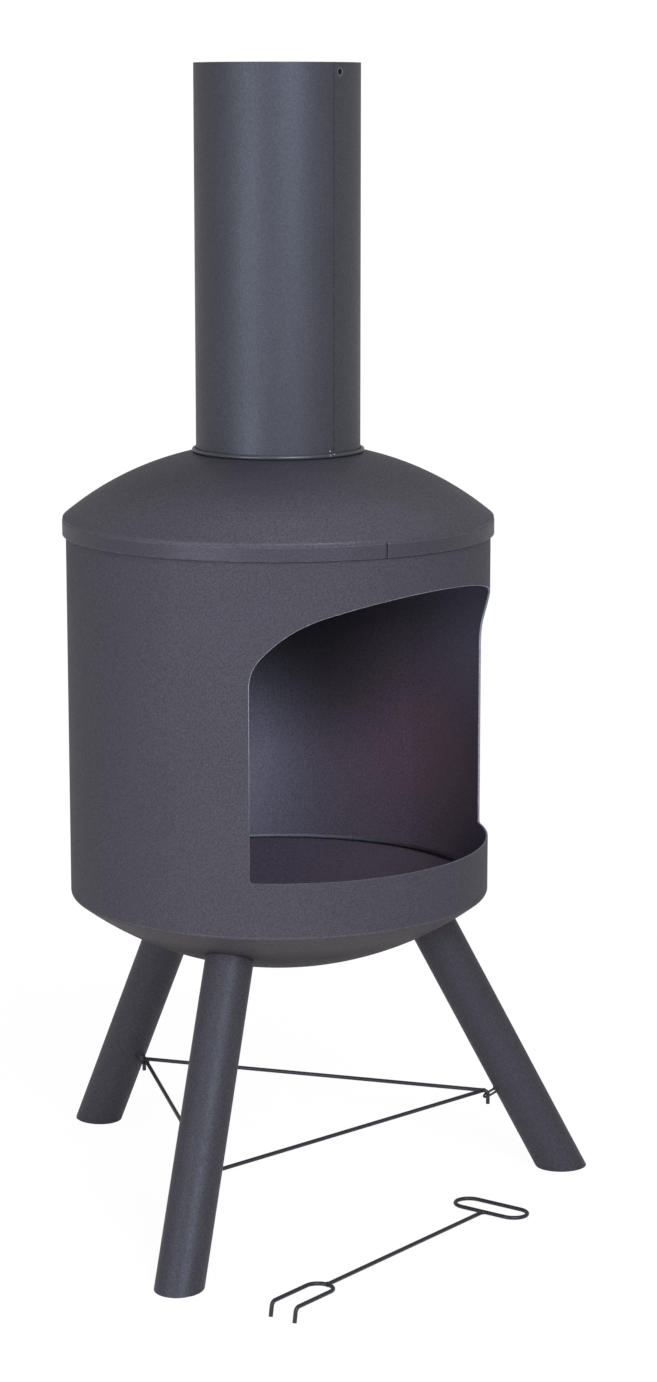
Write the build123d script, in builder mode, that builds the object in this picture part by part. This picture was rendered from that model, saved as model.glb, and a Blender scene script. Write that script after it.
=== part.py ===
from build123d import *

import os
from math import asin, atan2, cos, degrees, hypot, radians, sin, sqrt, tan

# Steel garden chiminea: a drum with a wide arched mouth, a domed top with a lift-off flue,
# a dished bowl underneath on three splayed tube legs, a wire brace between the legs and a
# wire poker lying on the ground in front. Millimetres, +Z up, floor at z = 0, drum axis on Z,
# mouth towards -Y. A bearing is measured round Z from -Y, positive towards +X.

os.makedirs("parts", exist_ok=True)

# --- driving dimensions ---------------------------------------------------------------

# drum
DRUM_RADIUS = 210.0
DRUM_SHEET = 2.0
DRUM_BOTTOM = 319.0
DRUM_TOP = 692.0

# mouth, drawn flat on the outer surface of the drum and cut before the sheet is rolled
MOUTH_HALF_ARC = 202.5
MOUTH_SILL = 371.5
MOUTH_SIDE = 187.0
MOUTH_CORNER = 4.0
SHOULDER_RADIUS = 41.0
SHOULDER_TURN = 42.0
HAUNCH_RADIUS = 129.0
HAUNCH_TURN = 32.7

# rim band round the top of the drum
BAND_RADIUS = 213.5
BAND_BOTTOM = 678.7
BAND_GAP = 0.6
BAND_SEAM_BEARING = -19.0

# dome
DOME_SHEET = 2.0
DOME_RADIUS = 213.1
DOME_RIM = 695.6
DOME_CORNER = 2.4
DOME_NECK = 758.4
DOME_PEAK = 758.8
DOME_SAGITTA = 9.2

# flue and the socket that it stands in
FLUE_RADIUS = 81.0
FLUE_SHEET = 1.5
FLUE_TOP = 1134.0
FLUE_ENGAGEMENT = 36.0
FLUE_HOLE_RADIUS = 3.0
FLUE_HOLE_DROP = 9.2
SOCKET_CLEARANCE = 0.4
SOCKET_SHEET = 1.5
SOCKET_LENGTH = 40.0

# 4 mm wire, used for the rings, the brace and the poker
WIRE = 2.0
WIRE_GAP = 0.6
RING_REST = 0.3
RING_BEARING = -9.0
HOOP_LIFT = 0.6
HOOP_BEARING = 110.0

# bowl
BOWL_SHEET = 2.0
BOWL_CORNER = 4.0
BOWL_BOTTOM = 244.4

# legs
LEG_RADIUS = 23.7
LEG_SHEET = 2.0
LEG_FOOT = 300.4
LEG_LEAN = 27.7
LEG_BEARINGS = {"front_left": -66.0, "front_right": 54.0, "rear": 174.0}
LEG_PLATE = 4.0

# leg bolts, M8
BOLT_RADIUS = 4.0
BOLT_HOLE = 4.5
HEX_FLATS = 13.0
BOLT_HEAD = 5.3
BOLT_BEYOND_NUT = 4.0
NUT_HEIGHT = 6.5
WASHER_RADIUS = 12.0
WASHER_THICKNESS = 1.6

# brace
BRACE_HEIGHT = 86.2
BRACE_PIN_CIRCLE = 220.4
BRACE_PIN_DROP = 14.0
BRACE_BEND = 4.5
EYELET_WIRE = 1.2
EYELET_LOOP = 4.6
EYELET_DROP = 4.0
EYELET_TAIL = 14.0

# poker
POKER_JOINT = (70.3, -211.2)
POKER_YAW = 186.3
HANDLE_LENGTH = 80.0
HANDLE_WIDTH = 29.8
HANDLE_GAP = 0.8
SHAFT_LENGTH = 271.0
FORK_LENGTH = 68.0
FORK_WIDTH = 27.0
TINE_DROP = 14.2
TINE_BEND = 5.0
TINE_TURN = 82.0


# --- helpers --------------------------------------------------------------------------


def outward(bearing):
    """Unit vector pointing away from the drum axis at a bearing."""
    return Vector(sin(radians(bearing)), -cos(radians(bearing)), 0)


def at_bearing(bearing, radius, height):
    """Point at a bearing, a distance from the drum axis and a height above the floor."""
    return outward(bearing) * radius + Vector(0, 0, height)


def radial_plane(bearing):
    """Plane through the drum axis whose local x points outward and local y points up."""
    return Plane(origin=(0, 0, 0), x_dir=outward(bearing), z_dir=outward(bearing).cross(Vector(0, 0, 1)))


def wire_ring(radius, height, bearing):
    """Ring of round wire about the drum axis, its two ends a small gap apart at a bearing."""
    gap_angle = degrees(WIRE_GAP / radius)
    with BuildPart() as ring:
        with BuildSketch(radial_plane(bearing + gap_angle / 2)):
            with Locations((radius, height)):
                Circle(WIRE)
        revolve(axis=Axis.Z, revolution_arc=360 - gap_angle)
    return ring


def save(piece, label):
    piece.part.label = label
    export_step(piece.part, f"parts/{label}.step")


# --- drum -----------------------------------------------------------------------------

# The mouth before rolling: x is the distance round the drum from -Y, y the height above the
# sill. Each half of the arch is three tangent arcs: shoulder, haunch and a long flat crown.
with BuildSketch() as mouth_flat:
    with BuildLine():
        shoulder = JernArc((MOUTH_HALF_ARC, MOUTH_SIDE), (0, 1), SHOULDER_RADIUS, SHOULDER_TURN)
        haunch = JernArc(shoulder @ 1, shoulder % 1, HAUNCH_RADIUS, HAUNCH_TURN)
        crown_turn = 90 - SHOULDER_TURN - HAUNCH_TURN
        crown_radius = (haunch @ 1).X / sin(radians(crown_turn))
        JernArc(haunch @ 1, haunch % 1, crown_radius, crown_turn)
        Line((MOUTH_HALF_ARC, MOUTH_SIDE), (MOUTH_HALF_ARC, 0))
        Line((MOUTH_HALF_ARC, 0), (0, 0))
        mirror(about=Plane.YZ)
    make_face()
    sill_corners = mouth_flat.vertices().group_by(Axis.Y)[0].sort_by(Axis.X)
    fillet([sill_corners[0], sill_corners[-1]], MOUTH_CORNER)


def rolled(edge, radius):
    """An edge of the flat mouth bent round the drum axis at a radius."""
    steps = 8
    points = []
    for step in range(steps + 1):
        flat = edge @ (step / steps)
        points.append(at_bearing(degrees(flat.X / DRUM_RADIUS), radius, MOUTH_SILL + flat.Y))
    if abs(points[0].X - points[-1].X) < 0.001:
        return Edge.make_line(points[0], points[-1])
    return Edge.make_spline(points)


# The cut faces run straight towards the axis, as in a sheet cut flat and then rolled.
mouth_cut = Shell(
    Face.sew_faces(
        Face.make_surface_from_curves(rolled(edge, DRUM_RADIUS - 10), rolled(edge, DRUM_RADIUS + 10))
        for edge in mouth_flat.wire().edges()
    )[0]
)

with BuildPart() as drum_blank:
    with BuildSketch(Plane.XY.offset(DRUM_BOTTOM)):
        Circle(DRUM_RADIUS)
        Circle(DRUM_RADIUS - DRUM_SHEET, mode=Mode.SUBTRACT)
    extrude(amount=DRUM_TOP - DRUM_BOTTOM)
    split(bisect_by=mouth_cut, keep=Keep.ALL)

with BuildPart() as drum_wall:
    add(drum_blank.solids().sort_by(SortBy.VOLUME)[-1])
save(drum_wall, "drum_wall")

with BuildPart() as rim_band:
    with BuildSketch(Plane.XY.offset(BAND_BOTTOM)):
        Circle(BAND_RADIUS)
        Circle(DRUM_RADIUS, mode=Mode.SUBTRACT)
        with Locations(outward(BAND_SEAM_BEARING) * BAND_RADIUS):
            Rectangle(BAND_GAP, 20, rotation=BAND_SEAM_BEARING, mode=Mode.SUBTRACT)
    extrude(amount=DRUM_TOP - BAND_BOTTOM)
save(rim_band, "rim_band")

inner_hoop = wire_ring(DRUM_RADIUS - DRUM_SHEET - WIRE, DRUM_BOTTOM + HOOP_LIFT + WIRE, HOOP_BEARING)
save(inner_hoop, "inner_hoop")

# --- dome and flue --------------------------------------------------------------------

socket_inner = FLUE_RADIUS + SOCKET_CLEARANCE
socket_outer = socket_inner + SOCKET_SHEET
# The dome's sheet is drawn a little past the socket and trimmed back to it.
dome_inner_edge = socket_outer - DOME_SHEET

with BuildPart() as dome:
    with BuildSketch(Plane.XZ):
        with BuildLine() as dome_line:
            Line((DOME_RADIUS, DRUM_TOP), (DOME_RADIUS, DOME_RIM))
            SagittaArc((DOME_RADIUS, DOME_RIM), (dome_inner_edge, DOME_PEAK), -DOME_SAGITTA)
            fillet(dome_line.vertices().sort_by(Axis.Y)[1], DOME_CORNER)
            offset(amount=DOME_SHEET, side=Side.LEFT)
        make_face()
        with Locations((0, DOME_NECK)):
            Rectangle(2 * socket_outer, SOCKET_LENGTH, mode=Mode.SUBTRACT)
    revolve(axis=Axis.Z)
save(dome, "dome")

with BuildPart() as flue_socket:
    with BuildSketch(Plane.XY.offset(DOME_NECK - SOCKET_LENGTH)):
        Circle(socket_outer)
        Circle(socket_inner, mode=Mode.SUBTRACT)
    extrude(amount=SOCKET_LENGTH)
save(flue_socket, "flue_socket")

flue_bottom = DOME_NECK - FLUE_ENGAGEMENT
with BuildPart() as flue_tube:
    with BuildSketch(Plane.XY.offset(flue_bottom)):
        Circle(FLUE_RADIUS)
        Circle(FLUE_RADIUS - FLUE_SHEET, mode=Mode.SUBTRACT)
    extrude(amount=FLUE_TOP - flue_bottom)
    with BuildSketch(Plane.XZ):
        with Locations((0, FLUE_TOP - FLUE_HOLE_DROP)):
            Circle(FLUE_HOLE_RADIUS)
    extrude(amount=2 * FLUE_RADIUS, mode=Mode.SUBTRACT)
save(flue_tube, "flue_tube")

flue_ring = wire_ring(FLUE_RADIUS + WIRE, DOME_NECK + RING_REST + WIRE, RING_BEARING)
save(flue_ring, "flue_ring")

# --- bowl and legs --------------------------------------------------------------------

# The bowl is part of a sphere, tangent to the small rounded corner under the drum's edge.
bowl_depth = DRUM_BOTTOM - BOWL_BOTTOM
corner_reach = DRUM_RADIUS - BOWL_CORNER
BOWL_SPHERE = (bowl_depth**2 + corner_reach**2 - BOWL_CORNER**2) / (2 * (bowl_depth - BOWL_CORNER))
sphere_height = BOWL_BOTTOM + BOWL_SPHERE
sphere_centre = Location((0, 0, sphere_height))


def leg_plane(bearing, distance=0.0):
    """Plane across a leg's axis, a distance up the axis from the floor."""
    axis = outward(bearing) * -sin(radians(LEG_LEAN)) + Vector(0, 0, cos(radians(LEG_LEAN)))
    tangent = outward(bearing).cross(Vector(0, 0, 1))
    return Plane(origin=at_bearing(bearing, LEG_FOOT, 0) + axis * distance, x_dir=tangent, z_dir=axis)


def leg_reach(sphere_radius):
    """Distance up a leg's axis from the floor to a sphere about the bowl's centre."""
    along = LEG_FOOT * sin(radians(LEG_LEAN)) + sphere_height * cos(radians(LEG_LEAN))
    across = hypot(LEG_FOOT, sphere_height) ** 2 - along**2
    return along - sqrt(sphere_radius**2 - across)


bowl_outside = leg_reach(BOWL_SPHERE)
bowl_inside = leg_reach(BOWL_SPHERE - BOWL_SHEET)
plate_underside = leg_reach(BOWL_SPHERE + LEG_PLATE)

corner_angle = degrees(atan2(DRUM_BOTTOM - sphere_height, corner_reach))
with BuildPart() as bowl:
    with BuildSketch(Plane.XZ):
        with BuildLine():
            CenterArc((corner_reach, DRUM_BOTTOM), BOWL_CORNER, 0, corner_angle)
            CenterArc((0, sphere_height), BOWL_SPHERE, corner_angle, -90 - corner_angle)
            offset(amount=BOWL_SHEET, side=Side.RIGHT)
        make_face()
    revolve(axis=Axis.Z)
    for bearing in LEG_BEARINGS.values():
        with BuildSketch(leg_plane(bearing, bowl_outside - 10)):
            Circle(BOLT_HOLE)
        extrude(amount=20, mode=Mode.SUBTRACT)
save(bowl, "bowl")

for name, bearing in LEG_BEARINGS.items():
    with BuildPart() as leg_tube:
        with BuildSketch(leg_plane(bearing, -LEG_RADIUS)):
            Circle(LEG_RADIUS)
            Circle(LEG_RADIUS - LEG_SHEET, mode=Mode.SUBTRACT)
        extrude(amount=LEG_RADIUS + bowl_outside + 10)
        with Locations(sphere_centre):
            Sphere(BOWL_SPHERE, mode=Mode.SUBTRACT)
        split(bisect_by=Plane.XY, keep=Keep.TOP)
    save(leg_tube, f"leg_tube_{name}")

    # Saddle plate closing the tube under the bowl, which the bolt passes through.
    with BuildPart() as leg_plate:
        with BuildSketch(leg_plane(bearing, plate_underside - 5)):
            Circle(LEG_RADIUS - LEG_SHEET)
            Circle(BOLT_HOLE, mode=Mode.SUBTRACT)
        extrude(amount=15)
        with Locations(sphere_centre):
            Sphere(BOWL_SPHERE, mode=Mode.SUBTRACT)
            Sphere(BOWL_SPHERE + LEG_PLATE, mode=Mode.INTERSECT)
    save(leg_plate, f"leg_plate_{name}")

with BuildPart() as leg_washers:
    for bearing in LEG_BEARINGS.values():
        with BuildSketch(leg_plane(bearing, bowl_inside - 1)):
            Circle(WASHER_RADIUS)
            Circle(BOLT_HOLE, mode=Mode.SUBTRACT)
        extrude(amount=1 + WASHER_THICKNESS)
    with Locations(sphere_centre):
        Sphere(BOWL_SPHERE - BOWL_SHEET, mode=Mode.INTERSECT)
save(leg_washers, "leg_washers")

head_seat = bowl_inside + WASHER_THICKNESS
bolt_tip = plate_underside - NUT_HEIGHT - BOLT_BEYOND_NUT
with BuildPart() as leg_bolts:
    for bearing in LEG_BEARINGS.values():
        with BuildSketch(leg_plane(bearing, head_seat)):
            RegularPolygon(HEX_FLATS / 2, 6, major_radius=False)
        extrude(amount=BOLT_HEAD)
        with BuildSketch(leg_plane(bearing, bolt_tip)):
            Circle(BOLT_RADIUS)
        extrude(amount=head_seat - bolt_tip)
save(leg_bolts, "leg_bolts")

with BuildPart() as leg_nuts:
    for bearing in LEG_BEARINGS.values():
        with BuildSketch(leg_plane(bearing, plate_underside - NUT_HEIGHT)):
            RegularPolygon(HEX_FLATS / 2, 6, major_radius=False)
            Circle(BOLT_RADIUS, mode=Mode.SUBTRACT)
        extrude(amount=NUT_HEIGHT + 1)
    with Locations(sphere_centre):
        Sphere(BOWL_SPHERE + LEG_PLATE, mode=Mode.SUBTRACT)
save(leg_nuts, "leg_nuts")

# --- brace and its eyelets ------------------------------------------------------------

# Each eyelet stands square to its leg, so it slopes down to the pin.
for name, bearing in LEG_BEARINGS.items():
    tail_heading = outward(bearing) * cos(radians(LEG_LEAN)) + Vector(0, 0, sin(radians(LEG_LEAN)))
    loop_plane = Plane(
        origin=at_bearing(bearing, BRACE_PIN_CIRCLE, BRACE_HEIGHT - EYELET_DROP),
        x_dir=tail_heading,
        z_dir=leg_plane(bearing).z_dir,
    )
    with BuildPart() as brace_eyelet:
        with BuildLine(loop_plane) as loop_line:
            Line((EYELET_TAIL, EYELET_LOOP), (0, EYELET_LOOP))
            ThreePointArc((0, EYELET_LOOP), (-EYELET_LOOP, 0), (0, -EYELET_LOOP))
            Line((0, -EYELET_LOOP), (EYELET_TAIL, -EYELET_LOOP))
        with BuildSketch(Plane(origin=loop_line.line @ 0, z_dir=loop_line.line % 0)):
            Circle(EYELET_WIRE)
        sweep()
        with BuildSketch(leg_plane(bearing)):
            Circle(LEG_RADIUS)
        extrude(amount=2 * BRACE_HEIGHT, mode=Mode.SUBTRACT)
    save(brace_eyelet, f"brace_eyelet_{name}")


def pin_top(name):
    return at_bearing(LEG_BEARINGS[name], BRACE_PIN_CIRCLE, BRACE_HEIGHT)


# Three equal rods form the triangle. Each is welded at one end to the rod before it and
# bends down at the other end into the pin that stands in that leg's eyelet.
corners = ["rear", "front_right", "front_left"]
brace_rods = []
for index, end_name in enumerate(["front_right", "front_left", "rear"]):
    start_corner = pin_top(corners[index])
    before = pin_top(corners[index - 1])
    start = start_corner - (start_corner - before).normalized() * BRACE_BEND
    end = pin_top(end_name)
    heading = (end - start).normalized()
    down = Vector(0, 0, -1)
    bend_start = end - heading * BRACE_BEND
    bend_middle = bend_start + heading * BRACE_BEND * sin(radians(45))
    bend_middle += down * BRACE_BEND * (1 - cos(radians(45)))
    with BuildPart() as brace_rod:
        with BuildLine() as rod_line:
            Line(start, bend_start)
            ThreePointArc(bend_start, bend_middle, end + down * BRACE_BEND)
            Line(end + down * BRACE_BEND, end + down * BRACE_PIN_DROP)
        with BuildSketch(Plane(origin=rod_line.line @ 0, z_dir=rod_line.line % 0)):
            Circle(WIRE)
        sweep()
    brace_rods.append(brace_rod)

for index, end_name in enumerate(["front_right", "front_left", "rear"]):
    with BuildPart() as fitted_rod:
        add(brace_rods[index].part)
        add(brace_rods[index - 1].part, mode=Mode.SUBTRACT)
        add(fitted_rod.solids().sort_by(SortBy.VOLUME)[-1], mode=Mode.REPLACE)
    save(fitted_rod, f"brace_rod_{end_name}")

# --- poker ----------------------------------------------------------------------------

# The tines in the poker's own plane: x runs along the shaft from the handle, y is the height.
tine_turn = radians(TINE_TURN)
fork_half = FORK_WIDTH / 2
bend_x = SHAFT_LENGTH + FORK_LENGTH - TINE_BEND * tan(tine_turn / 2)
bend_half = (bend_x + TINE_BEND * sin(tine_turn / 2), TINE_BEND * (cos(tine_turn / 2) - 1))
bend_end = (bend_x + TINE_BEND * sin(tine_turn), TINE_BEND * (cos(tine_turn) - 1))
tip_drop = TINE_DROP - WIRE * cos(tine_turn)
tip_x = bend_end[0] + (tip_drop + bend_end[1]) / tan(tine_turn)
root_x = SHAFT_LENGTH + fork_half

# The poker rests on the far side of its handle and on the lowest edge of its tine tips. Its
# plane has local x along the shaft from the handle to the fork and local y across it.
rest_reach = HANDLE_WIDTH + tip_x - WIRE * sin(tine_turn)
POKER_TILT = atan2(TINE_DROP, rest_reach) - asin(WIRE / hypot(rest_reach, TINE_DROP))
poker_heading = Vector(cos(radians(POKER_YAW)), sin(radians(POKER_YAW)), 0)
poker_plane = Plane(
    origin=(POKER_JOINT[0], POKER_JOINT[1], WIRE + HANDLE_WIDTH * sin(POKER_TILT)),
    x_dir=poker_heading * cos(POKER_TILT) + Vector(0, 0, sin(POKER_TILT)),
    z_dir=poker_heading * -sin(POKER_TILT) + Vector(0, 0, cos(POKER_TILT)),
)

grip_half = HANDLE_LENGTH / 2 - HANDLE_WIDTH / 2
with BuildPart() as poker_handle:
    with BuildLine(poker_plane) as grip_line:
        Line((0, grip_half), (0, -grip_half))
        ThreePointArc((0, -grip_half), (-HANDLE_WIDTH / 2, -HANDLE_LENGTH / 2), (-HANDLE_WIDTH, -grip_half))
        Line((-HANDLE_WIDTH, -grip_half), (-HANDLE_WIDTH, grip_half))
        ThreePointArc((-HANDLE_WIDTH, grip_half), (-HANDLE_WIDTH / 2, HANDLE_LENGTH / 2), (0, grip_half))
    with BuildSketch(Plane(origin=grip_line.line @ 0, z_dir=grip_line.line % 0)):
        Circle(WIRE)
    sweep()
    with BuildSketch(poker_plane.offset(-2 * WIRE)):
        with Locations((-HANDLE_WIDTH / 2, HANDLE_LENGTH / 2)):
            Rectangle(HANDLE_GAP, 4 * WIRE)
    extrude(amount=4 * WIRE, mode=Mode.SUBTRACT)
save(poker_handle, "poker_handle")

with BuildPart() as poker_fork:
    with BuildLine(poker_plane) as fork_line:
        Line((tip_x, -fork_half, -tip_drop), (bend_end[0], -fork_half, bend_end[1]))
        ThreePointArc(
            (bend_end[0], -fork_half, bend_end[1]),
            (bend_half[0], -fork_half, bend_half[1]),
            (bend_x, -fork_half, 0),
        )
        Line((bend_x, -fork_half, 0), (root_x, -fork_half, 0))
        ThreePointArc((root_x, -fork_half, 0), (SHAFT_LENGTH, 0, 0), (root_x, fork_half, 0))
        Line((root_x, fork_half, 0), (bend_x, fork_half, 0))
        ThreePointArc(
            (bend_x, fork_half, 0),
            (bend_half[0], fork_half, bend_half[1]),
            (bend_end[0], fork_half, bend_end[1]),
        )
        Line((bend_end[0], fork_half, bend_end[1]), (tip_x, fork_half, -tip_drop))
    with BuildSketch(Plane(origin=fork_line.line @ 0, z_dir=fork_line.line % 0)):
        Circle(WIRE)
    sweep()
save(poker_fork, "poker_fork")

with BuildPart() as poker_shaft:
    with BuildSketch(Plane(origin=poker_plane.origin, z_dir=poker_plane.x_dir)):
        Circle(WIRE)
    extrude(amount=SHAFT_LENGTH)
    add(poker_handle.part, mode=Mode.SUBTRACT)
    add(poker_fork.part, mode=Mode.SUBTRACT)
save(poker_shaft, "poker_shaft")
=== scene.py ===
"""Looks of a steel garden chiminea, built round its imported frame.

Metres, +Z up, floor at z = 0, drum axis on Z, mouth towards -Y. A bearing is measured in degrees
round Z from -Y, positive towards +X.
"""

import math
import random

import bpy
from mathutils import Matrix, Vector, noise


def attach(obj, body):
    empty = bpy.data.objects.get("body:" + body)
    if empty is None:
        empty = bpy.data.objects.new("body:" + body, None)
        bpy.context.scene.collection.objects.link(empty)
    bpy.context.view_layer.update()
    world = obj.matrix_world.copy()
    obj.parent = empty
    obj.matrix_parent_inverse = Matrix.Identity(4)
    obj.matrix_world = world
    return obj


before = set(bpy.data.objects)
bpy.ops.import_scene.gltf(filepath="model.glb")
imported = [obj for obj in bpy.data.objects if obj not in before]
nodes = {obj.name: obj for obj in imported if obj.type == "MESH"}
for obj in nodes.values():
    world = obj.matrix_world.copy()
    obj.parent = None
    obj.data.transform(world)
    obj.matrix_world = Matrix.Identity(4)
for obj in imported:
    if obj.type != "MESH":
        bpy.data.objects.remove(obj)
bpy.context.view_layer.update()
scene = bpy.context.scene

# --- sizes repeated from the part -----------------------------------------------------

DRUM_RADIUS = 0.210
DRUM_SHEET = 0.002
SILL_HEIGHT = 0.3715
FLUE_RADIUS = 0.081
FLUE_SHEET = 0.0015
FLUE_SEAM = -6.0
FLUE_SEAM_FOOT = 0.7640
FLUE_SEAM_LENGTH = 0.3695
FLUE_HOLE = Vector((0, -FLUE_RADIUS, 1.1248))
RING_HEIGHT = 0.7607
HOOP_HEIGHT = 0.3216
BAND_SEAM = -19.0
BAND_FACE = 0.213
BAND_HEIGHT = 0.69
EYELET_LOOP = 0.0046
EYELET_HEIGHT = 0.0822
PIN_CIRCLE = 0.2204
PIN_HEIGHT = 0.0862
PIN_BEND = 0.0045
BOWL_SPHERE = 0.33984
BOWL_CENTRE = Vector((0, 0, 0.58424))
LEG_RADIUS = 0.0237
LEG_LEAN = math.radians(27.7)
LEG_FOOT = 0.3004
LEGS = {"front_left": -66.0, "front_right": 54.0, "rear": 174.0}
POKER_JOINT = Vector((0.0703, -0.2112, 0.0031))
POKER_FORK_ROOT = Vector((-0.1990, -0.2409, 0.0119))

UP = Vector((0, 0, 1))


def outward(bearing):
    angle = math.radians(bearing)
    return Vector((math.sin(angle), -math.cos(angle), 0.0))


def at_bearing(bearing, radius, height):
    return outward(bearing) * radius + UP * height


def leg_line(bearing):
    """The foot of a leg's axis and the way that it runs up."""
    axis = outward(bearing) * -math.sin(LEG_LEAN) + UP * math.cos(LEG_LEAN)
    return outward(bearing) * LEG_FOOT, axis


# --- camera ---------------------------------------------------------------------------

camera_data = bpy.data.cameras.new("camera")
camera_data.sensor_width = 36.0
camera_data.lens = 82.35
camera = bpy.data.objects.new("camera", camera_data)
camera.location = (-2.2907, -2.0990, 1.0991)
camera_aim = Vector((0.0332, -0.0368, 0.5176)) - camera.location
camera.rotation_euler = camera_aim.to_track_quat("-Z", "Y").to_euler()
scene.collection.objects.link(camera)
scene.camera = camera

# --- shader helpers -------------------------------------------------------------------


class Shader:
    """A material's node tree with short calls for the nodes used here."""

    def __init__(self, name):
        self.material = bpy.data.materials.new(name)
        self.material.use_nodes = True
        self.tree = self.material.node_tree
        self.bsdf = self.tree.nodes["Principled BSDF"]
        self.point = self.node("ShaderNodeTexCoord").outputs["Object"]

    def node(self, kind, inputs=(), **settings):
        made = self.tree.nodes.new(kind)
        for key, value in settings.items():
            setattr(made, key, value)
        for key, value in dict(inputs).items():
            self.feed(made.inputs[key], value)
        return made

    def feed(self, socket, value):
        if isinstance(value, bpy.types.NodeSocket):
            self.tree.links.new(value, socket)
        else:
            socket.default_value = value

    def math(self, operation, a, b):
        return self.node("ShaderNodeMath", {0: a, 1: b}, operation=operation).outputs[0]

    def vector(self, operation, a, b):
        """A difference, product or cross product."""
        return self.node("ShaderNodeVectorMath", {0: a, 1: b}, operation=operation).outputs["Vector"]

    def measure(self, operation, a, b=(0, 0, 0)):
        """A length, distance or dot product."""
        return self.node("ShaderNodeVectorMath", {0: a, 1: b}, operation=operation).outputs["Value"]

    def noise(self, scale, detail=2.0, rough=0.5):
        inputs = {"Vector": self.point, "Scale": scale, "Detail": detail, "Roughness": rough}
        return self.node("ShaderNodeTexNoise", inputs).outputs["Fac"]

    def ramp(self, value, low, high, out_low=0.0, out_high=1.0):
        """A smooth step from one output to another as a value goes from low to high."""
        inputs = {"Value": value, "From Min": low, "From Max": high, "To Min": out_low, "To Max": out_high}
        return self.node("ShaderNodeMapRange", inputs, interpolation_type="SMOOTHSTEP").outputs[0]

    def mix(self, share, a, b):
        made = self.node("ShaderNodeMix", data_type="RGBA", blend_type="MIX")
        self.feed(made.inputs[0], share)
        self.feed(made.inputs[6], a)
        self.feed(made.inputs[7], b)
        return made.outputs[2]

    def scaled(self, colour, factor):
        """A colour times a number."""
        made = self.node("ShaderNodeVectorMath", operation="SCALE")
        self.feed(made.inputs[0], colour if isinstance(colour, bpy.types.NodeSocket) else colour[:3])
        self.feed(made.inputs["Scale"], factor)
        return made.outputs[0]

    def radius(self):
        """Distance from the drum axis."""
        return self.measure("LENGTH", self.vector("MULTIPLY", self.point, (1, 1, 0)))

    def height(self):
        return self.node("ShaderNodeSeparateXYZ", {0: self.point}).outputs[2]

    def near(self, place, reach):
        """1 at a place, falling to 0 a reach away."""
        return self.ramp(self.measure("DISTANCE", self.point, place), 0.0, reach, 1.0, 0.0)


def rgb(red, green, blue):
    return (red, green, blue, 1.0)


# --- paint ----------------------------------------------------------------------------

FINE_GRAIN = 1100.0
SAND_GRAIN = 600.0
MOTTLE = 9.0
FINE_CONTRAST = 0.11
SAND_CONTRAST = 0.11
SAND_ROUGHNESS = 0.02
SAND_DEPTH = 0.00005
EDGE_ROUND = 0.0011
# A pale blue-grey for sharp edges: part wear, part painted highlight.
EDGE_WEAR_AND_HIGHLIGHT = rgb(0.48, 0.48, 0.56)


def paint(name, colour, rough, shine=0.2, tint=(0.85, 0.85, 1.0), layers=None, wear_and_highlight=None, grit=1.9):
    """Matt heat-resistant paint: fine sprayed grain, faint mottling, and rounded edges painted lighter, as
    wear and as painted highlight.

    layers is a function of the shader that returns (mask, colour) pairs to lay over the paint,
    and the argument after it a function that returns how far the sharp edges of the sheet are
    painted lighter, as wear and as painted highlight. grit is how strongly the sprayed grain stands out.
    """
    s = Shader(name)
    fine = s.noise(FINE_GRAIN, 3.0, 0.65)
    sand = s.noise(SAND_GRAIN, 2.0, 0.6)
    broad = s.noise(MOTTLE, 4.0, 0.55)

    speckle = s.ramp(fine, 0.25, 0.75, 1 - FINE_CONTRAST, 1 + FINE_CONTRAST)
    shade = s.math("ADD", speckle, s.ramp(broad, 0.3, 0.7, -0.035, 0.035))
    contrast = SAND_CONTRAST * grit
    shade = s.math("ADD", shade, s.ramp(sand, 0.3, 0.7, -contrast, contrast))

    base = colour
    for mask, laid in layers(s) if layers else ():
        base = s.mix(mask, base, laid)
    rounded = s.node("ShaderNodeBevel", {"Radius": EDGE_ROUND}, samples=6).outputs[0]
    # Sharp edges painted lighter: wear, and painted highlight.
    if wear_and_highlight is not None:
        surface = s.node("ShaderNodeNewGeometry").outputs["Normal"]
        turn = s.measure("DOT_PRODUCT", rounded, surface)
        edge = s.math("MULTIPLY", s.ramp(turn, 0.80, 0.985, 1.0, 0.0), wear_and_highlight(s))
        base = s.mix(edge, base, EDGE_WEAR_AND_HIGHLIGHT)
    s.feed(s.bsdf.inputs["Base Color"], s.scaled(base, shade))

    roughness = s.ramp(fine, 0.25, 0.75, rough - 0.05, rough + 0.06)
    roughness = s.math("ADD", roughness, s.ramp(broad, 0.3, 0.7, -0.03, 0.03))
    spread = SAND_ROUGHNESS * grit
    roughness = s.math("ADD", roughness, s.ramp(sand, 0.3, 0.7, spread, -spread))
    s.feed(s.bsdf.inputs["Roughness"], roughness)
    s.bsdf.inputs["Specular Tint"].default_value = rgb(*tint)
    s.bsdf.inputs["Specular IOR Level"].default_value = shine

    lumps = s.math("ADD", fine, s.math("MULTIPLY", sand, 1.2))
    relief = {"Height": lumps, "Strength": 0.6, "Distance": SAND_DEPTH * grit, "Normal": rounded}
    s.feed(s.bsdf.inputs["Normal"], s.node("ShaderNodeBump", relief).outputs[0])
    return s.material


# --- what lies over the paint ---------------------------------------------------------

INSIDE = rgb(0.068, 0.064, 0.084)
# Painted light on the inner face, where light falls in through the mouth.
INSIDE_PAINTED_LIGHT = rgb(0.178, 0.171, 0.236)
# A lighter plum tint for a patch low on the right of the inner face.
INNER_PLUM_TINT = rgb(0.124, 0.083, 0.112)
# Soot inside the flue; inside the drum the same colour is painted shade.
SOOT_AND_PAINTED_SHADE = rgb(0.012, 0.011, 0.012)
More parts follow.
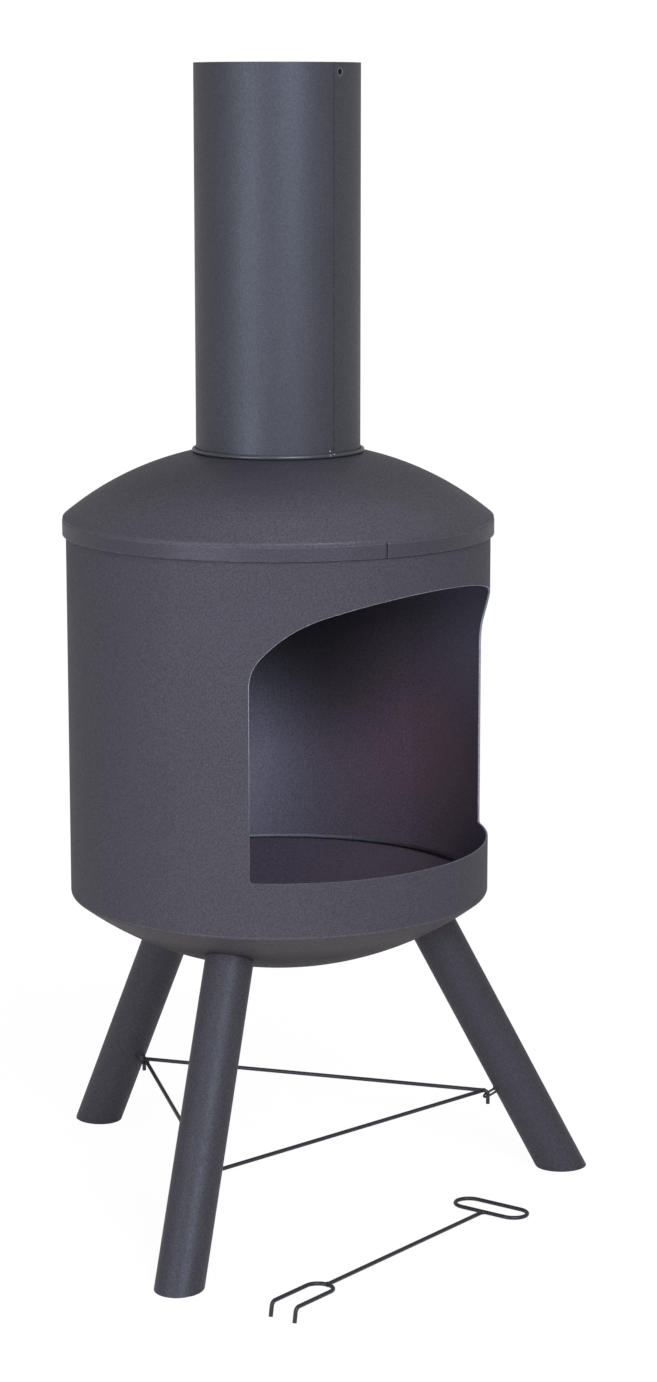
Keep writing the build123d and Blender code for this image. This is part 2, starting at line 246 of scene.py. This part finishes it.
# Painted shade for gaps, holes and joints.
PAINTED_CREVICE_SHADE = rgb(0.010, 0.010, 0.012)
CUT_EDGE = rgb(0.085, 0.085, 0.100)
# Painted highlight on the mouth's cut edge above the sill.
CUT_PAINTED_HIGHLIGHT = rgb(0.20, 0.205, 0.25)
DOME_TOP = rgb(0.0280, 0.0245, 0.0310)
HOOP_DULL = rgb(0.034, 0.025, 0.032)
BOWL_INSIDE = rgb(0.058, 0.048, 0.068)
BOWL_WARM = rgb(0.078, 0.061, 0.078)
# Painted shade for the bowl's underside.
BOWL_PAINTED_SHADE = rgb(0.0245, 0.0180, 0.0225)


def evenly(share):
    return lambda s: share


def drum_layers(s):
    """The inner face: painted light where light falls in through the mouth, painted shade high at the back
    and a lighter plum patch low on the right; and the mouth's cut edge, pale low down, with a painted
    highlight from just above the sill upwards.
    """

    def patch(bearing, height, reach):
        return s.near(at_bearing(bearing, 0.2, height), reach)

    # Painted light: paler patches on the inner face where light falls in through the mouth.
    painted_light = s.math("MAXIMUM", patch(154, 0.405, 0.165), patch(60, 0.59, 0.215))
    painted_light = s.math("ADD", painted_light, s.math("MULTIPLY", patch(150, 0.46, 0.13), 0.6))
    inner = s.mix(painted_light, INSIDE, INSIDE_PAINTED_LIGHT)
    inner = s.mix(patch(83, 0.43, 0.215), inner, INNER_PLUM_TINT)
    # Painted shade high at the back of the inner face.
    inner = s.mix(s.math("MULTIPLY", patch(122, 0.53, 0.14), 0.5), inner, SOOT_AND_PAINTED_SHADE)

    radius = s.radius()
    inner_face = DRUM_RADIUS - DRUM_SHEET
    inside = s.ramp(radius, inner_face + 0.0007, inner_face + 0.0009, 1.0, 0.0)
    past_inner = s.ramp(radius, inner_face + 0.00005, inner_face + 0.0002)
    before_outer = s.ramp(radius, DRUM_RADIUS - 0.0004, DRUM_RADIUS - 0.0002, 1.0, 0.0)
    cut = s.math("MULTIPLY", past_inner, before_outer)
    # The mouth's cut edge: pale low down, with a painted highlight from just above the sill upwards.
    edge = s.mix(s.ramp(s.height(), SILL_HEIGHT - 0.0315, SILL_HEIGHT + 0.0285), CUT_EDGE, CUT_PAINTED_HIGHLIGHT)
    return [(inside, inner), (cut, edge)]


def drum_edge_highlight(s):
    """A painted highlight along the arch's edge, and much less along the sill's."""
    return s.ramp(s.height(), 0.40, 0.54, 0.08, 1.0)


def dome_layers(s):
    """Darker towards the neck."""
    return [(s.ramp(s.height(), 0.708, 0.742), DOME_TOP)]


def band_side(s):
    """Distance to the right of the band's seam."""
    return s.measure("DOT_PRODUCT", s.point, UP.cross(outward(BAND_SEAM)))


def band_layers(s):
    """The shadow in the gap between the band's ends."""
    side = band_side(s)
    gap = s.math("MULTIPLY", s.ramp(side, -0.0018, -0.0012), s.ramp(side, 0.0003, 0.0006, 1.0, 0.0))
    this_side = s.near(at_bearing(BAND_SEAM, BAND_FACE, BAND_HEIGHT), 0.06)
    return [(s.math("MULTIPLY", gap, this_side), PAINTED_CREVICE_SHADE)]


def band_edge_highlight(s):
    """A painted highlight along the edges, uneven, strongest at the end right of the gap, and none in the
    gap's shadow.
    """
    side = band_side(s)
    left = s.ramp(side, -0.0040, -0.0020, 0.22, 0.0)
    right = s.math("MULTIPLY", s.ramp(side, 0.0004, 0.0007), s.ramp(side, 0.0012, 0.0040, 0.6, 0.24))
    patchiness = s.ramp(s.noise(75.0), 0.35, 0.65, 0.5, 1.3)
    return s.math("MULTIPLY", s.math("ADD", left, right), patchiness)


def flue_layers(s):
    """Soot inside; painted shade in the hole near the top, which has a paler rim."""
    across = s.vector("MULTIPLY", s.vector("SUBTRACT", s.point, FLUE_HOLE), (1, 0, 1))
    gap = s.measure("LENGTH", across)
    front = s.near(FLUE_HOLE, 0.05)
    inner_face = FLUE_RADIUS - FLUE_SHEET
    return [
        (s.ramp(s.radius(), inner_face + 0.0001, inner_face + 0.0003, 1.0, 0.0), SOOT_AND_PAINTED_SHADE),
        (s.math("MULTIPLY", s.ramp(gap, 0.0036, 0.0046, 0.7, 0.0), front), CUT_EDGE),
        # Painted shade in the hole.
        (s.math("MULTIPLY", s.ramp(gap, 0.0030, 0.0034, 1.0, 0.0), front), PAINTED_CREVICE_SHADE),
    ]


def hoop_layers(s):
    """Darker and plum-tinted on one side; elsewhere the hoop's pale colour is a painted highlight."""
    return [(s.near(at_bearing(80, 0.206, HOOP_HEIGHT), 0.19), HOOP_DULL)]


def bowl_layers(s):
    """The heat-dulled inside, painted shade underneath and a painted-shade dark line round each leg's end.
    """
    reach = s.measure("DISTANCE", s.point, BOWL_CENTRE)
    inner = s.mix(s.near(at_bearing(85, 0.18, 0.28), 0.17), BOWL_INSIDE, BOWL_WARM)
    layers = [
        # Painted shade low on the underside.
        (s.ramp(s.height(), 0.282, 0.305, 0.95, 0.0), BOWL_PAINTED_SHADE),
        (s.ramp(reach, BOWL_SPHERE - 0.0016, BOWL_SPHERE - 0.0008, 1.0, 0.0), inner),
    ]
    for bearing in LEGS.values():
        foot, axis = leg_line(bearing)
        arm = s.vector("SUBTRACT", s.point, foot)
        gap = s.measure("LENGTH", s.vector("CROSS_PRODUCT", arm, axis))
        # Painted shade: a dark line round the leg's end.
        layers.append((s.ramp(gap, LEG_RADIUS, LEG_RADIUS + 0.0016, 0.9, 0.0), PAINTED_CREVICE_SHADE))
    return layers


def leg_layers(s):
    """Painted shade: a dark line where the tube meets the bowl."""
    reach = s.measure("DISTANCE", s.point, BOWL_CENTRE)
    return [(s.ramp(reach, BOWL_SPHERE, BOWL_SPHERE + 0.0014, 0.9, 0.0), PAINTED_CREVICE_SHADE)]


def leg_chips_and_highlight(s):
    """Small chips round the foot, and a faint painted highlight along every edge."""
    foot = s.ramp(s.height(), 0.0015, 0.0045, 1.0, 0.0)
    chips = s.math("MULTIPLY", foot, s.ramp(s.noise(190.0), 0.56, 0.66))
    return s.math("ADD", chips, 0.12)


# --- materials ------------------------------------------------------------------------

drum_paint = paint(
    "drum_paint", rgb(0.0466, 0.0423, 0.0522), rough=0.60, shine=0.15, tint=(0.74, 0.86, 1.0),
    layers=drum_layers, wear_and_highlight=drum_edge_highlight,
)
dome_paint = paint(
    "dome_paint", rgb(0.0365, 0.0330, 0.0405), rough=0.54, shine=0.52,
    layers=dome_layers, wear_and_highlight=evenly(0.25), grit=3.4,
)
band_paint = paint(
    "band_paint", rgb(0.0345, 0.0312, 0.0395), rough=0.46, shine=0.34,
    layers=band_layers, wear_and_highlight=band_edge_highlight, grit=2.2,
)
bowl_paint = paint(
    "bowl_paint", rgb(0.0590, 0.0515, 0.0570), rough=0.56, shine=0.10, tint=(1.0, 0.88, 0.97),
    layers=bowl_layers, wear_and_highlight=evenly(0.12),
)
flue_paint = paint(
    "flue_paint", rgb(0.0322, 0.0288, 0.0340), rough=0.47, shine=0.48, tint=(0.66, 0.78, 1.0),
    layers=flue_layers, wear_and_highlight=evenly(0.35), grit=2.1,
)
seam_paint = paint("seam_paint", rgb(0.030, 0.029, 0.035), rough=0.55, shine=0.15)
leg_paint = paint(
    "leg_paint", rgb(0.0350, 0.0300, 0.0362), rough=0.50, shine=0.26, tint=(0.66, 0.82, 1.0),
    layers=leg_layers, wear_and_highlight=leg_chips_and_highlight, grit=2.4,
)
wire_paint = paint("wire_paint", rgb(0.024, 0.023, 0.027), rough=0.36, shine=0.3)
ring_paint = paint("ring_paint", rgb(0.034, 0.034, 0.042), rough=0.31, shine=0.7)
bare_steel = paint("bare_steel", rgb(0.30, 0.30, 0.31), rough=0.40, shine=0.4)
# The hoop is painted pale as a painted highlight.
hoop_painted_highlight = paint("hoop_painted_highlight", rgb(0.125, 0.125, 0.155), rough=0.42, shine=0.3, layers=hoop_layers)
poker_paint = paint("poker_paint", rgb(0.020, 0.020, 0.023), rough=0.36, shine=0.3)
zinc = paint("zinc", rgb(0.45, 0.45, 0.46), rough=0.35, tint=(1, 1, 1))
zinc.node_tree.nodes["Principled BSDF"].inputs["Metallic"].default_value = 1.0

# A node takes the coat of the first key that its name starts with.
COATS = {
    "drum_wall": drum_paint,
    "rim_band": band_paint,
    "inner_hoop": hoop_painted_highlight,
    "dome": dome_paint,
    "flue_socket": flue_paint,
    "flue_tube": flue_paint,
    "flue_ring": ring_paint,
    "bowl": bowl_paint,
    "leg_tube": leg_paint,
    "leg_plate": leg_paint,
    "leg_washers": zinc,
    "leg_bolts": zinc,
    "leg_nuts": zinc,
    "brace_eyelet": wire_paint,
    "brace_rod": wire_paint,
    "poker": poker_paint,
}
for name, node in nodes.items():
    coat = next(COATS[key] for key in COATS if name.startswith(key))
    node.data.materials.clear()
    node.data.materials.append(coat)

# --- welds and seams ------------------------------------------------------------------

BEAD_SIDES = 12
LUMP_RINGS = 12
LUMP_SIDES = 16

random.seed(4)


def shaped(name, rings, body, coat):
    """A closed skin over rings of points, each end drawn in to a point."""
    count = len(rings[0])
    points = [point for ring in rings for point in ring]
    faces = []
    for i in range(len(rings) - 1):
        for j in range(count):
            k = (j + 1) % count
            faces.append((i * count + j, i * count + k, (i + 1) * count + k, (i + 1) * count + j))
    for ring in (0, len(rings) - 1):
        points.append(sum(rings[ring], Vector()) / count)
        for j in range(count):
            a, b = ring * count + j, ring * count + (j + 1) % count
            faces.append((b, a, len(points) - 1) if ring == 0 else (a, b, len(points) - 1))
    mesh = bpy.data.meshes.new(name)
    mesh.from_pydata(points, [], faces)
    mesh.shade_smooth()
    mesh.materials.append(coat)
    made = bpy.data.objects.new(name, mesh)
    scene.collection.objects.link(made)
    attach(made, body)
    return made


def bead(name, path, up, wide, high, body, coat, ripple, pitch):
    """A run of weld or a seam laid along a path: a low rounded ridge in overlapping pulses.

    up gives the way out of the surface at a point of the path.
    """
    rings = []
    offset = random.uniform(0, 50)
    run = 0.0
    last = len(path) - 1
    for i, place in enumerate(path):
        before = path[max(i - 1, 0)]
        run += (place - before).length
        normal = up(place)
        side = (path[min(i + 1, last)] - before).cross(normal).normalized()
        end = min(1.0, math.sqrt(min(i, last - i) / max(1.0, 0.06 * last)) + 0.15)
        pulse = 1 - ripple * abs(math.sin(math.pi * run / pitch))
        swell = end * pulse * (1 + 0.25 * noise.noise(Vector((run * 300, offset, 0))))
        ring = []
        for j in range(BEAD_SIDES):
            turn = math.tau * j / BEAD_SIDES
            sideways = side * (wide / 2 * swell * math.cos(turn))
            ring.append(place + sideways + normal * (high * swell * math.sin(turn)))
        rings.append(ring)
    return shaped(name, rings, body, coat)


def lump(name, centre, along, up, sizes, body, coat):
    """A drop of weld metal: a rounded lump, longer one way and a little uneven."""
    along = along.normalized()
    up = (up - along * up.dot(along)).normalized()
    side = along.cross(up)
    offset = random.uniform(0, 50)
    rings = []
    for i in range(1, LUMP_RINGS):
        polar = math.pi * i / LUMP_RINGS
        ring = []
        for j in range(LUMP_SIDES):
            turn = math.tau * j / LUMP_SIDES
            round_it = math.sin(polar)
            way = Vector((math.cos(polar), round_it * math.cos(turn), round_it * math.sin(turn)))
            swell = 1 + 0.22 * noise.noise(way * 1.6 + Vector((offset, 0, 0)))
            ring.append(
                centre
                + along * (way.x * sizes[0] * swell)
                + side * (way.y * sizes[1] * swell)
                + up * (way.z * sizes[2] * swell)
            )
        rings.append(ring)
    return shaped(name, rings, body, coat)


def from_axis(place):
    return Vector((place.x, place.y, 0)).normalized()


def tangent_at(bearing):
    """The way round the drum, level."""
    return outward(bearing).cross(UP)


# The flue is rolled from one sheet and closed by a flattened seam.
SEAM_STEPS = 260
seam = [
    at_bearing(FLUE_SEAM, FLUE_RADIUS, FLUE_SEAM_FOOT + FLUE_SEAM_LENGTH * i / SEAM_STEPS)
    for i in range(SEAM_STEPS + 1)
]
bead(
    "flue_seam", seam, from_axis, 0.0013, 0.00022, "flue", seam_paint,
    ripple=0.05, pitch=0.004,
)

# The ends of the flue's ring are welded, with two flecks of spatter beside the weld.
RING_JOINT = -9.0
ring_way = tangent_at(RING_JOINT)
lump(
    "ring_weld", at_bearing(-9.9, 0.0834, RING_HEIGHT + 0.0001), ring_way, UP,
    (0.0030, 0.0023, 0.0023), "flue", ring_paint,
)
lump(
    "ring_fleck_a", at_bearing(-9.4, 0.0812, RING_HEIGHT + 0.0042), ring_way, UP,
    (0.0009, 0.0005, 0.0007), "flue", bare_steel,
)
lump(
    "ring_fleck_b", at_bearing(-7.6, 0.0843, RING_HEIGHT + 0.0014), ring_way, UP,
    (0.0010, 0.0007, 0.0006), "flue", bare_steel,
)

# The hoop under the mouth is tacked to the drum, twice where its ends meet.
HOOP_TACKS = (70, 108, 111.5, 150, 190, 230, 270, 310)
for number, bearing in enumerate(HOOP_TACKS):
    lump(
        f"hoop_tack_{number}", at_bearing(bearing, 0.2071, HOOP_HEIGHT + 0.0014),
        tangent_at(bearing), UP, (0.0042, 0.0014, 0.0011), "stove", hoop_painted_highlight,
    )

# Each eyelet's two tails are welded to the leg.
for name, bearing in LEGS.items():
    foot, axis = leg_line(bearing)
    tangent = tangent_at(bearing)
    tail = tangent.cross(axis)
    if tail.dot(outward(bearing)) < 0:
        tail = -tail
    loop = at_bearing(bearing, PIN_CIRCLE, EYELET_HEIGHT)
    to_axis = (foot - loop).dot(tail)
    for side, lateral in (("a", EYELET_LOOP), ("b", -EYELET_LOOP)):
        to_tube = to_axis - math.sqrt(LEG_RADIUS**2 - lateral**2)
        lump(
            f"eyelet_weld_{name}_{side}", loop + tail * to_tube + tangent * lateral, axis, -tail,
            (0.0026, 0.0021, 0.0012), "stove", leg_paint,
        )

# The brace's rods are butt-welded beside each pin.
corners = ["rear", "front_right", "front_left"]
for index, corner in enumerate(corners):
    pin = at_bearing(LEGS[corner], PIN_CIRCLE, PIN_HEIGHT)
    before = at_bearing(LEGS[corners[index - 1]], PIN_CIRCLE, PIN_HEIGHT)
    heading = (pin - before).normalized()
    lump(
        f"brace_weld_{corner}", pin - heading * PIN_BEND, heading, UP,
        (0.0031, 0.0024, 0.0024), "brace", wire_paint,
    )

# The poker's shaft is welded to its handle and its fork.
poker_heading = (POKER_FORK_ROOT - POKER_JOINT).normalized()
lump(
    "poker_weld_handle", POKER_JOINT + poker_heading * 0.0016, poker_heading, UP,
    (0.0030, 0.0036, 0.0023), "poker", poker_paint,
)
lump(
    "poker_weld_fork", POKER_FORK_ROOT - poker_heading * 0.0012, poker_heading, UP,
    (0.0032, 0.0034, 0.0023), "poker", poker_paint,
)

# --- stage and light ------------------------------------------------------------------

BACKDROP = 1.02
FLOOR_GLOW = 0.74
FLOOR_RADIUS = 60.0
FLOOR_SIDES = 96
RIM_GLOW = 0.60
SKY = 0.39
WHITE = rgb(1, 1, 1)

# The floor is matt and lit close to the object, and fades into an even pale glow.
floor_shader = Shader("floor")
floor_shader.bsdf.inputs["Base Color"].default_value = rgb(0.95, 0.95, 0.93)
floor_shader.bsdf.inputs["Roughness"].default_value = 0.9
eye = floor_shader.node("ShaderNodeLightPath").outputs["Is Camera Ray"]
strength = floor_shader.ramp(eye, 0.0, 1.0, FLOOR_GLOW, BACKDROP)
glow = floor_shader.node("ShaderNodeEmission", {"Color": WHITE, "Strength": strength}).outputs[0]
far = floor_shader.ramp(floor_shader.radius(), 0.45, 1.5)
matt = floor_shader.bsdf.outputs[0]
blended = floor_shader.node("ShaderNodeMixShader", {0: far, 1: matt, 2: glow}).outputs[0]
# Seen straight on, it is all but white, with a trace of the shadows left.
seen = floor_shader.math("MULTIPLY", eye, 0.93)
blended = floor_shader.node("ShaderNodeMixShader", {0: seen, 1: blended, 2: glow}).outputs[0]
floor_shader.feed(floor_shader.tree.nodes["Material Output"].inputs["Surface"], blended)

turns = [math.tau * i / FLOOR_SIDES for i in range(FLOOR_SIDES)]
rim = [(FLOOR_RADIUS * math.cos(turn), FLOOR_RADIUS * math.sin(turn), 0) for turn in turns]
floor_mesh = bpy.data.meshes.new("floor")
floor_mesh.from_pydata(rim, [], [range(FLOOR_SIDES)])
floor_mesh.materials.append(floor_shader.material)
floor = bpy.data.objects.new("floor", floor_mesh)
scene.collection.objects.link(floor)

# The world lights the object as a pale backdrop low down behind it does, and is dimmer
# elsewhere. Seen straight on it is even.
world = bpy.data.worlds.new("world")
world.use_nodes = True
sky = world.node_tree
direction = sky.nodes.new("ShaderNodeTexCoord").outputs["Generated"]


def sky_fade(value, low, high, out_low, out_high):
    made = sky.nodes.new("ShaderNodeMapRange")
    made.interpolation_type = "SMOOTHSTEP"
    sky.links.new(value, made.inputs["Value"])
    settings = {"From Min": low, "From Max": high, "To Min": out_low, "To Max": out_high}
    for socket, setting in settings.items():
        if isinstance(setting, bpy.types.NodeSocket):
            sky.links.new(setting, made.inputs[socket])
        else:
            made.inputs[socket].default_value = setting
    return made.outputs[0]


split = sky.nodes.new("ShaderNodeSeparateXYZ")
sky.links.new(direction, split.inputs[0])
behind = sky.nodes.new("ShaderNodeVectorMath")
behind.operation = "DOT_PRODUCT"
sky.links.new(direction, behind.inputs[0])
behind.inputs[1].default_value = Vector((camera_aim.x, camera_aim.y, 0)).normalized()
horizon = sky_fade(behind.outputs["Value"], 0.91, 0.99, SKY, RIM_GLOW)
lighting = sky_fade(split.outputs[2], 0.03, 0.22, horizon, SKY)
straight_on = sky.nodes.new("ShaderNodeLightPath").outputs["Is Camera Ray"]
background = sky.nodes["Background"]
background.inputs["Color"].default_value = WHITE
sky.links.new(sky_fade(straight_on, 0.0, 1.0, lighting, BACKDROP), background.inputs["Strength"])
scene.world = world
scene.view_settings.view_transform = "Standard"

LIT_POINT = Vector((0, 0, 0.6))


def softbox(name, bearing, elevation, watts, colour, size=1.0, distance=3.0):
    light = bpy.data.lights.new(name, "AREA")
    light.shape = "SQUARE"
    light.size = size
    light.energy = watts
    light.color = colour
    lamp = bpy.data.objects.new(name, light)
    rise = math.radians(elevation)
    away = outward(bearing) * math.cos(rise) + UP * math.sin(rise)
    lamp.location = LIT_POINT + away * distance
    lamp.rotation_euler = (-away).to_track_quat("-Z", "Y").to_euler()
    scene.collection.objects.link(lamp)


softbox("key", bearing=-28, elevation=26, watts=160, colour=(0.88, 0.93, 1.0), size=1.8, distance=4.0)
softbox("left", bearing=-86, elevation=4, watts=47, colour=(0.90, 0.94, 1.0), size=1.4)
softbox("top", bearing=-47, elevation=86, watts=18, colour=(0.92, 0.93, 1.0), size=1.6)
softbox("right", bearing=80, elevation=58, watts=4, colour=(1, 1, 1))
